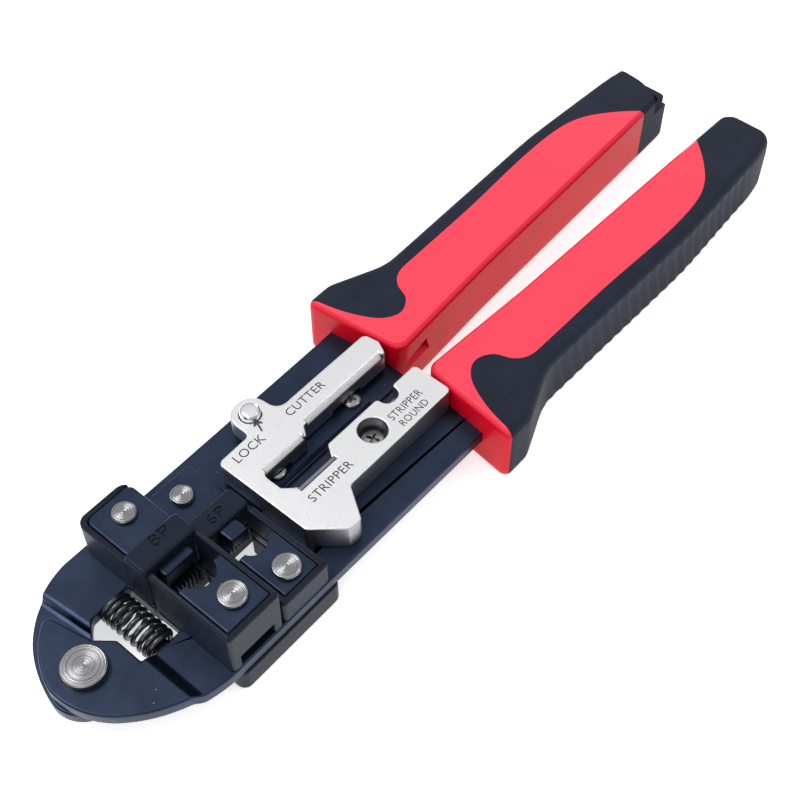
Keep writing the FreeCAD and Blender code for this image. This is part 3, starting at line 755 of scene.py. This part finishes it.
RIVETS = (
    # node, x, y, underside, top, head radius, head height, shank radius, body
    ("pivot_rivet", 0.0, 0.0, -1.8, 5.15, 4.9, 1.8, 3.6, FIXED),
    ("nest_rivet_8p", *NEST_RIVET_8P, -5.0, 16.4, 3.2, 1.3, RIVET_SHANK, FIXED),
    ("nest_rivet_6p", *NEST_RIVET_6P, -5.0, 10.4, 3.2, 1.3, RIVET_SHANK, FIXED),
    ("ram_rivet_8p", *RAM_RIVET_8P, -5.0, 13.7, 2.7, 1.3, RIVET_SHANK, MOVING),
    ("ram_rivet_6p", *RAM_RIVET_6P, -5.0, 5.6, 2.7, 1.3, RIVET_SHANK, MOVING),
)


def cross_recess(z, reach, width, depth):
    """The tapering cross of a driver recess."""
    arms = []
    for turn in (0, math.pi / 2):
        arm = block(-reach, reach, -width, width, z - depth, z + 0.5)
        for vert in arm.data.vertices:
            if vert.co.z < z:
                vert.co.x *= 0.45
        arm.data.transform(Matrix.Rotation(turn, 4, "Z"))
        arms.append(arm)
    return arms


def screw(name, x, y, seat, end, head_r, head, shank):
    top = seat + head
    profile = [(0, top), (head_r * 0.55, top - 0.03), (head_r * 0.8, top - 0.16), (head_r * 0.95, top - 0.45),
               (head_r, top - 0.75), (head_r, seat), (shank, seat), (shank, end), (0, end)]
    piece = turned(name, profile, x, y, 48)
    combine(piece, cross_recess(top, head_r * 0.62, 0.34, head * 0.62))
    piece.data.transform(Matrix.Rotation(SCREW_TURN, 4, "Z"))
    return piece


# ---------------------------------------------------------------- return spring
def build_spring(sizes):
    wire, coil, turns = sizes.spring_wire / MM, sizes.spring_coil / MM, sizes.spring_turns
    first, last = LOW_SEAT + wire + 0.1, HIGH_SEAT - wire - 0.1
    per_turn, sides = 28, 10
    count = int(turns * per_turn)
    bm = bmesh.new()
    rings = []
    for i in range(count + 1):
        t = i / count
        eased = t - 0.045 * math.sin(2 * math.pi * t)
        angle = 2 * math.pi * turns * t + 0.6
        out = Vector((math.cos(angle), 0, math.sin(angle)))
        centre = Vector((14.4, first + (last - first) * eased, PLATE / 2)) + out * coil
        along = Vector((0, 1, 0))
        rings.append([
            bm.verts.new(centre + (out * math.cos(a) + along * math.sin(a)) * wire)
            for a in (2 * math.pi * k / sides for k in range(sides))
        ])
    for a, b in zip(rings, rings[1:]):
        for k in range(sides):
            m = (k + 1) % sides
            bm.faces.new((a[k], a[m], b[m], b[k]))
    bm.faces.new(rings[0])
    bm.faces.new(rings[-1])
    spring = as_object("return_spring_coil", bm)
    spring.data.transform(TO_FRAME)
    dress(spring, finish_named("black_spring_steel"))
    smooth_shading(spring)
    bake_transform(spring)
    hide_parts("return_spring")


# ---------------------------------------------------------------- plug nests and rams
DIE_PIECES = (
    # node, body, finish, edge rounding in millimetres
    ("nest_frame_8p", FIXED, "black_moulding", 0.40),
    ("nest_frame_6p", FIXED, "black_moulding", 0.40),
    ("nest_underblock", FIXED, "black_moulding", 0.45),
    ("nest_plate_8p", FIXED, "blued_steel", 0.22),
    ("nest_plate_6p", FIXED, "blued_steel", 0.22),
    ("ram_underblock", MOVING, "black_moulding", 0.45),
    ("ram_plate_8p", MOVING, "blued_steel", 0.22),
    ("ram_plate_6p", MOVING, "blued_steel", 0.22),
    ("contact_comb_8p", MOVING, "blued_steel", 0.05),
    ("contact_comb_6p", MOVING, "blued_steel", 0.05),
    ("strain_pusher_8p", MOVING, "blued_steel", 0.30),
    ("strain_pusher_6p", MOVING, "blued_steel", 0.30),
)


def build_die(node, body, finish, edge):
    piece = from_node(node, node + "_piece")
    # blued steel pieces get a lighter finish on their rounded edges, a painted highlight
    gets_painted_highlight = finish == "blued_steel"
    round_edges(piece, edge, painted_highlight_slot=1 if gets_painted_highlight else -1)
    settle(piece, body, finish, [node], "blued_steel_painted_rim_highlight" if gets_painted_highlight else None)


def build_ram_bar(name, node, plan, top, edge, windows, label, sizes):
    """The label bar in front of a ram, with its punch windows."""
    bar = prism(plan, PLATE, top, name)
    round_edges(bar, edge, 4)
    text, x, y, height = label
    combine(bar, [block(*window) for window in windows]
            + [lettering(text, x, y, height, top, sizes.letter_depth / MM, 1.25)])
    settle(bar, MOVING, "black_moulding", [node])


def build_rams(sizes):
    build_ram_bar("ram_bar_8p", "ram_block_8p", rounded_rect(18.8, 33.8, 0.9, 7.4, 1.4), 16.4, 1.0,
                  [(22.2, 30.8, -0.1, 5.0, 9.4, 14.0), (21.8, 31.2, -0.1, 5.0, 2.4, 8.6)],
                  ("8P", 24.7, 3.9, 2.9), sizes)
    build_ram_bar("ram_bar_6p", "ram_block_6p", rounded_rect(34.5, 47.8, 0.3, 6.4, 1.2), 10.4, 0.8,
                  [(38.4, 43.6, -1.0, 4.4, 6.2, 9.4), (37.2, 44.8, -1.0, 4.4, 2.4, 5.6)],
                  ("6P", 38.2, 2.0, 2.7), sizes)
    bed = prism(rounded([(19.2, 7.0, 0.6), (33.2, 7.0, 0.6), (33.2, 22.6, 2.6), (19.2, 22.6, 2.6)]),
                PLATE, 13.5, "ram_bed_8p")
    combine(bed, [
        prism(rounded([(20.6, 5.0, 0.5), (36.0, 5.0, 0.5), (36.0, 21.2, 0.5), (20.6, 21.2, 1.6)]),
              11.9, 15.0),
    ])
    round_edges(bed, 0.28, 3)
    combine(bed, [drill(*RAM_RIVET_8P, RIVET_SHANK, 0, 20)])
    settle(bed, MOVING, "black_moulding", ["ram_block_8p"])
    bed = prism(rounded([(34.5, 6.0, 0.5), (48.4, 6.0, 0.5), (48.4, 20.2, 1.6), (34.5, 20.2, 1.6)]),
                PLATE, 4.4, "ram_bed_6p")
    combine(bed, [drill(*RAM_RIVET_6P, RIVET_SHANK, 0, 20)])
    round_edges(bed, 0.15, 2)
    settle(bed, MOVING, "black_moulding", ["ram_block_6p"])


# ---------------------------------------------------------------- casting
CASTING_PLAN = [
    (50.2, 12.3, 1.6), (60.0, 12.5, 1.2), (60.1, 20.7, 4.2), (68.7, 20.7, 4.2), (69.6, 12.6, 2.8),
    (98.3, 12.6, 1.6), (98.9, 8.4, 1.0), (97.4, 5.2, 0.9), (70.0, 5.2, 1.2), (68.4, 2.9, 0.9),
    (54.6, 2.9, 1.4), (54.6, -2.4, 1.0), (57.4, -5.4, 0.8), (67.4, -5.4, 0.8), (69.6, -2.2, 0.9),
    (86.0, -2.2, 0.9), (86.0, -5.4, 2.2), (91.0, -5.4, 2.2), (91.0, -2.2, 0.9), (99.0, -2.2, 1.2),
    (99.0, -13.2, 1.2), (65.0, -13.2, 1.6), (60.0, -20.8, 1.4), (56.6, -20.6, 1.4), (50.2, -13.6, 1.6),
]


def build_casting(sizes):
    body = prism(rounded(CASTING_PLAN, 15.0), PLATE, CASTING_TOP, "casting_body")
    combine(body, [
        block(49.2, 100.0, -0.4, 30, 2.4, 4.7),
        block(54.2, 63.2, -2.0, 30, 2.4, 6.0),
        block(79.4, 88.8, 0.5, 30, 2.4, 6.0),
        drill(*CASTING_SCREW, 3.4, 5.4, 12.0),
        drill(*CASTING_SCREW, 1.6, 2.4, 6.4),
        drill(*LOCK_BUTTON, 2.5, 2.4, 12.0),
        block(57.0, 68.2, -6.2, -5.2, 9.3, 12.0),
        drill(88.5, -4.6, 1.4, 2.4, 8.4),
        swept_x([(5.1, 8.9), (7.0, 10.9), (5.1, 10.9)], 71.2, 96.4),
        swept_x([(2.8, 9.1), (4.6, 10.9), (2.8, 10.9)], 55.6, 67.8),
    ])
    round_edges(body, sizes.casting_edge / MM, 3)
    depth = sizes.letter_depth / MM
    labels = [
        ("CUTTER", 69.6, 9.0, 2.2, 1.0), ("LOCK", 53.0, 8.8, 2.3, 1.0),
        ("STRIPPER", 56.3, -10.4, 2.2, 1.0), ("STRIPPER", 83.6, -9.1, 2.1, 0.84),
        ("ROUND", 84.0, -11.9, 1.9, 0.9),
    ]
    cuts = [lettering(text, x, y, height, CASTING_TOP, depth, stretch)
            for text, x, y, height, stretch in labels]
    cuts.append(prism([(62.55, 11.0), (62.95, 10.9), (63.75, 12.9), (64.5, 12.3), (64.6, 12.9),
                       (63.9, 14.1), (62.6, 13.6), (62.5, 13.0), (63.3, 13.1)],
                      CASTING_TOP - depth, CASTING_TOP + depth))
    combine(body, cuts)
    for face in body.data.polygons:
        face.material_index = int(abs(face.center.z - CASTING_TOP + depth) < 0.02 and face.normal.z > 0.9)
    settle(body, FIXED, "satin_casting", ["stripper_body"], "label_shadow")


# ---------------------------------------------------------------- handles
HANDLE_PLAN = [
    (97.2, -31.4, 1.8), (105.0, -31.4, 6.0), (119.0, -25.5, 16.0), (178.0, -26.8, 150.0),
    (212.0, -24.8, 60.0), (220.5, -23.2, 4.5), (220.5, -9.2, 3.5), (196.0, -8.3, 80.0),
    (134.0, -6.4, 80.0), (100.4, -4.4, 3.2),
]
GRIP_LINE = [
    (97.4, -36.0), (98.6, -30.0), (100.6, -22.0), (104.2, -14.8), (108.8, -11.9), (113.2, -13.8),
    (115.3, -18.2), (118.8, -20.6), (126.0, -21.0), (147.0, -21.4), (170.0, -22.5), (184.0, -22.1),
    (192.0, -20.0), (198.5, -15.6), (203.6, -10.6), (206.4, -6.6), (207.4, -1.0),
]
HANDLE_INSET = 1.4          # the moving handle sits this much nearer the centre line
LEVELS = 6
FLUTES = (117.0, 210.0)


def handle_levels():
    """From the bottom up: (z, inset on the outer side, inset on the inner side, inset at the tail)."""
    soft, crease, blunt = 2.3, 1.0, 2.5
    levels = []
    for k in range(LEVELS + 1):
        a = math.pi / 2 * k / LEVELS
        levels.append((HANDLE_LOW + soft * (1 - math.cos(a)), soft * (1 - math.sin(a)),
                       crease * (1 - math.sin(a)), soft * (1 - math.sin(a))))
    for k in range(1, 5):
        z = HANDLE_LOW + soft + (HANDLE_TOP - HANDLE_LOW - 2 * soft) * k / 5
        levels.append((z, 0.0, 0.0, 0.0))
    for k in range(LEVELS + 1):
        a = math.pi / 2 * k / LEVELS
        z = HANDLE_TOP - soft * (1 - math.sin(a))
        inner = crease * max(0.0, (z - HANDLE_TOP + crease) / crease)
        levels.append((z, soft * (1 - math.cos(a)), inner, 0.3 + (blunt - 0.3) * (1 - math.cos(a))))
    return levels


def handle_solid(name, sizes):
    plan = evenly(rounded(HANDLE_PLAN, 8.0), 0.7)
    count = len(plan)
    area = sum(plan[i - 1].cross(plan[i]) for i in range(count))
    normals = []
    for i in range(count):
        along = (plan[(i + 1) % count] - plan[i - 1]).normalized()
        normals.append(Vector((along.y, -along.x)) * math.copysign(1, area))
    depth, pitch = sizes.flute_depth / MM, sizes.flute_pitch / MM
    bm = bmesh.new()
    rings = []
    for z, outer, inner, tail in handle_levels():
        ring = []
        for point, normal in zip(plan, normals):
            facing = clamped(normal.y * 2.0 + 0.5)
            behind = clamped(normal.x * 1.6) if point.x > 200 else 0.0
            inset = outer + (inner - outer) * facing
            inset += (tail - inset) * behind
            window = min(clamped((point.x - FLUTES[0]) / 6.0), clamped((FLUTES[1] - point.x) / 6.0))
            rise = clamped((HANDLE_TOP - 1.2 - z) / 4.0) * clamped((z - HANDLE_LOW) / 3.0)
            wave = 0.5 - 0.5 * math.cos(2 * math.pi * (point.x + z * 0.35) / pitch)
            inset += depth * wave ** 0.7 * window * rise * (1 - facing)
            at = point - normal * inset
            ring.append(bm.verts.new((at.x, at.y, z)))
        rings.append(ring)
    for low, high in zip(rings, rings[1:]):
        for i in range(count):
            j = (i + 1) % count
            bm.faces.new((low[i], low[j], high[j], high[i]))
    bm.faces.new(rings[0])
    bm.faces.new(rings[-1])
    return as_object(name, bm)


def tang_way():
    return prism([(90.0, -9.5), (99.0, -9.55), (150.1, -11.5), (150.1, -20.5), (104.0, -23.25),
                  (90.0, -23.25)], -0.05, PLATE + 0.05)


def grip_region():
    around = [(240.0, -1.0), (240.0, -45.0), (90.0, -45.0), (92.0, -40.0)]
    return prism(smooth_line(GRIP_LINE) + around, -20, 30)


def lanyard_tail():
    """What the moving handle lacks behind: its upper part ends early, above a lanyard lug."""
    upper = smooth_line([(208.0, -1.0), (209.6, -6.0), (212.2, -11.5), (214.6, -17.0), (215.4, -30.0)])
    return [
        prism(upper + [(240.0, -30.0), (240.0, -1.0)], LUG_TOP, 30),
        block(217.0, 240, -30, -1, -20, LUG_TOP),
    ]


def moving_side(obj):
    """Turn a piece drawn for the fixed handle into the moving handle's."""
    obj.data.transform(Matrix.Translation((0, -HANDLE_INSET, 0)) @ Matrix.Diagonal((1, -1, 1, 1)))
    obj.data.flip_normals()
    return obj


def build_handle(side, part, sizes):
    """One shell or grip. The moving arm's handle is a mirror image with a lanyard lug behind."""
    name = side + "_handle_" + part
    solid = handle_solid(name + "_form", sizes)
    combine(solid, [grip_region()], "INTERSECT" if part == "grip" else "DIFFERENCE")
    if side == "right":
        combine(solid, [tang_way()])
    else:
        combine(solid, lanyard_tail())
        if part == "grip":
            lug = prism(rounded([(205.0, -9.8, 0), (214.6, -9.4, 1.6), (219.8, -11.4, 1.6),
                                 (219.8, -18.4, 2.4), (214.0, -21.0, 2.0), (205.0, -21.4, 0)]), -2.0, LUG_TOP)
            combine(solid, [lug], "UNION")
        moving_side(solid)
        way = tang_way()
        way.data.transform(Matrix.Diagonal((1, -1, 1, 1)))
        way.data.flip_normals()
        combine(solid, [way, drill(*LANYARD_EYE, -20, 30)])
        if part == "shell":
            slot = prism([(102.2, 0.6), (111.6, 0.6), (110.4, 5.2), (103.4, 3.6)], -8.0, 5.2)
            slot.data.transform(Matrix(((1, 0, 0, 0), (0, 0, 1, 0), (0, 1, 0, 0), (0, 0, 0, 1))))
            slot.data.flip_normals()
            combine(solid, [slot])
    settle(solid, MOVING if side == "left" else FIXED,
           "red_plastic" if part == "shell" else "black_rubber", [name])


# ---------------------------------------------------------------- operators
class BuildArms(Operator):
    """Build both pressed steel arms"""
    bl_idname = "crimper.build_arms"
    bl_label = "Arms"

    def execute(self, context):
        edge = context.scene.crimper_sizes.steel_edge / MM
        for build in (build_right_arm, build_left_arm):
            arm, body, nodes = build()
            # the rounded rims take the lighter rim finish, a painted highlight
            round_edges(arm, edge, painted_highlight_slot=1)
            settle(arm, body, "blued_steel", nodes, "blued_steel_painted_rim_highlight")
        return {"FINISHED"}


class BuildRivets(Operator):
    """Build the turned rivets"""
    bl_idname = "crimper.build_rivets"
    bl_label = "Rivets"

    def execute(self, context):
        for row in RIVETS:
            build_rivet(*row)
        return {"FINISHED"}


class BuildSpring(Operator):
    """Build the return spring"""
    bl_idname = "crimper.build_spring"
    bl_label = "Return spring"

    def execute(self, context):
        build_spring(context.scene.crimper_sizes)
        return {"FINISHED"}


class BuildDies(Operator):
    """Build the plug nests and rams"""
    bl_idname = "crimper.build_dies"
    bl_label = "Nests and rams"

    def execute(self, context):
        for row in DIE_PIECES:
            build_die(*row)
        build_rams(context.scene.crimper_sizes)
        return {"FINISHED"}


BLADES = (
    ("cutter_blade", MOVING, "blued_steel"),
    ("stripper_blade", FIXED, "blade_steel"),
    ("round_cable_blade", FIXED, "blade_steel"),
)


class BuildCasting(Operator):
    """Build the cast stripper and cutter body with its screw and blades"""
    bl_idname = "crimper.build_casting"
    bl_label = "Stripper and cutter"

    def execute(self, context):
        build_casting(context.scene.crimper_sizes)
        deep = screw("casting_screw", *CASTING_SCREW, 5.4, -0.6, 3.0, 1.9, 1.5)
        settle(deep, FIXED, "plated_screw", ["stripper_body_screw"])
        for name, at in (("blade_screw_rear", BLADE_SCREW_REAR), ("blade_screw_front", BLADE_SCREW_FRONT)):
            piece = screw(name, *at, 4.4, 0.4, 2.3, 1.3, 1.0)
            settle(piece, MOVING, "plated_screw", ["cutter_blade_screws"])
        for node, body, finish in BLADES:
            piece = from_node(node, node + "_ground")
            round_edges(piece, 0.06, 2)
            settle(piece, body, finish, [node])
        return {"FINISHED"}


class BuildLock(Operator):
    """Build the lock button"""
    bl_idname = "crimper.build_lock"
    bl_label = "Lock button"

    def execute(self, context):
        top = 12.5
        profile = [(0, top), (0.9, top - 0.02), (1.6, top - 0.08), (2.0, top - 0.2), (2.25, top - 0.42),
                   (2.4, top - 0.75), (2.45, top - 1.1), (2.45, 5.95), (2.25, 5.75), (0, 5.75)]
        knob = turned("lock_button", profile, *LOCK_BUTTON)
        settle(knob, LOCK, "polished_knob", ["lock_knob"])
        return {"FINISHED"}


class BuildHandles(Operator):
    """Build both two-colour handles"""
    bl_idname = "crimper.build_handles"
    bl_label = "Handles"

    def execute(self, context):
        for side in ("right", "left"):
            for part in ("shell", "grip"):
                build_handle(side, part, context.scene.crimper_sizes)
        return {"FINISHED"}


def area_light(name, at, size, power):
    light = bpy.data.lights.new(name, "AREA")
    light.shape = "DISK"
    light.size = size
    light.energy = power
    holder = bpy.data.objects.new(name, light)
    holder.location = at
    holder.rotation_euler = (-Vector(at)).to_track_quat("-Z", "Y").to_euler()
    bpy.context.scene.collection.objects.link(holder)


def make_surround(strength):
    """A studio surround that is bright overhead and dim at the horizon."""
    world = bpy.data.worlds.new("surround")
    world.use_nodes = True
    tree = world.node_tree
    place = tree.nodes.new("ShaderNodeTexCoord")
    parts = tree.nodes.new("ShaderNodeSeparateXYZ")
    tree.links.new(place.outputs["Generated"], parts.inputs[0])
    ramp = tree.nodes.new("ShaderNodeValToRGB")
    ramp.color_ramp.elements[0].color = (0.16, 0.16, 0.17, 1)
    ramp.color_ramp.elements[1].position = 0.85
    ramp.color_ramp.elements[1].color = (1, 1, 1, 1)
    tree.links.new(parts.outputs["Z"], ramp.inputs["Fac"])
    tree.links.new(ramp.outputs["Color"], tree.nodes["Background"].inputs["Color"])
    tree.nodes["Background"].inputs["Strength"].default_value = strength
    return world


class BuildStage(Operator):
    """Set up the floor, the lights and the camera"""
    bl_idname = "crimper.build_stage"
    bl_label = "Stage"

    def execute(self, context):
        studio = context.scene.crimper_studio
        bm = bmesh.new()
        bmesh.ops.create_grid(bm, x_segments=8, y_segments=8, size=3.0)
        floor = as_object("floor", bm)
        floor.location.z = -0.0002
        finish = Finish("floor_paper").set(Specular_IOR_Level=0.2)
        tone = noise(finish.tree, millimetres(finish.tree), 0.01, 2.0)
        finish.feed("Base Color", finish.colours(tone, shade(studio.floor, 0.99), studio.floor))
        finish.set(Roughness=0.8, Emission_Color=(1, 1, 1, 1), Emission_Strength=studio.paper)
        floor.data.materials.append(finish.material)

        context.scene.world = make_surround(studio.sky)
        area_light("overhead", (-0.30, 0.40, 0.85), 0.5, studio.key)
        area_light("front", (-0.75, -0.35, 0.40), 0.4, studio.key * 0.2)
        area_light("side", (0.37, -0.51, 0.48), 0.25, studio.key * 0.15)
        area_light("rear", (0.66, 0.32, 0.30), 0.25, studio.key * 0.12)

        azimuth, elevation = studio.azimuth, studio.elevation
        back = Vector((math.sin(azimuth) * math.cos(elevation), -math.cos(azimuth) * math.cos(elevation),
                       math.sin(elevation)))
        camera = bpy.data.objects.new("camera", bpy.data.cameras.new("camera"))
        context.scene.collection.objects.link(camera)
        camera.location = Vector(studio.target) + back * studio.distance
        camera.rotation_mode = "QUATERNION"
        camera.rotation_quaternion = (-back).to_track_quat("-Z", "Y")
        camera.data.lens = studio.lens
        camera.data.sensor_width = 36.0
        camera.data.clip_start = 0.01
        camera.data.clip_end = 20.0
        context.scene.camera = camera
        context.scene.view_settings.view_transform = "Standard"
        return {"FINISHED"}


class CrimperPanel(Panel):
    """Sizes, colours and builders of the crimping tool"""
    bl_idname = "VIEW3D_PT_crimper"
    bl_label = "Plug Crimping Tool"
    bl_space_type = "VIEW_3D"
    bl_region_type = "UI"
    bl_category = "Crimper"

    def draw(self, context):
        scene = context.scene
        for group in (scene.crimper_sizes, scene.crimper_colours, scene.crimper_studio):
            box = self.layout.box()
            for name in group.__annotations__:
                box.prop(group, name)
        for builder in BUILDERS:
            self.layout.operator(builder.bl_idname)


BUILDERS = (BuildArms, BuildRivets, BuildSpring, BuildDies, BuildCasting, BuildLock, BuildHandles, BuildStage)
CLASSES = (CrimperSizes, CrimperColours, CrimperStudio, *BUILDERS, CrimperPanel)


def register():
    for cls in CLASSES:
        bpy.utils.register_class(cls)
    bpy.types.Scene.crimper_sizes = PointerProperty(type=CrimperSizes)
    bpy.types.Scene.crimper_colours = PointerProperty(type=CrimperColours)
    bpy.types.Scene.crimper_studio = PointerProperty(type=CrimperStudio)


def unregister():
    del bpy.types.Scene.crimper_studio
    del bpy.types.Scene.crimper_colours
    del bpy.types.Scene.crimper_sizes
    for cls in reversed(CLASSES):
        bpy.utils.unregister_class(cls)


def main():
    register()
    for builder in BUILDERS:
        group, name = builder.bl_idname.split(".")
        getattr(getattr(bpy.ops, group), name)()


if __name__ == "__main__":
    main()
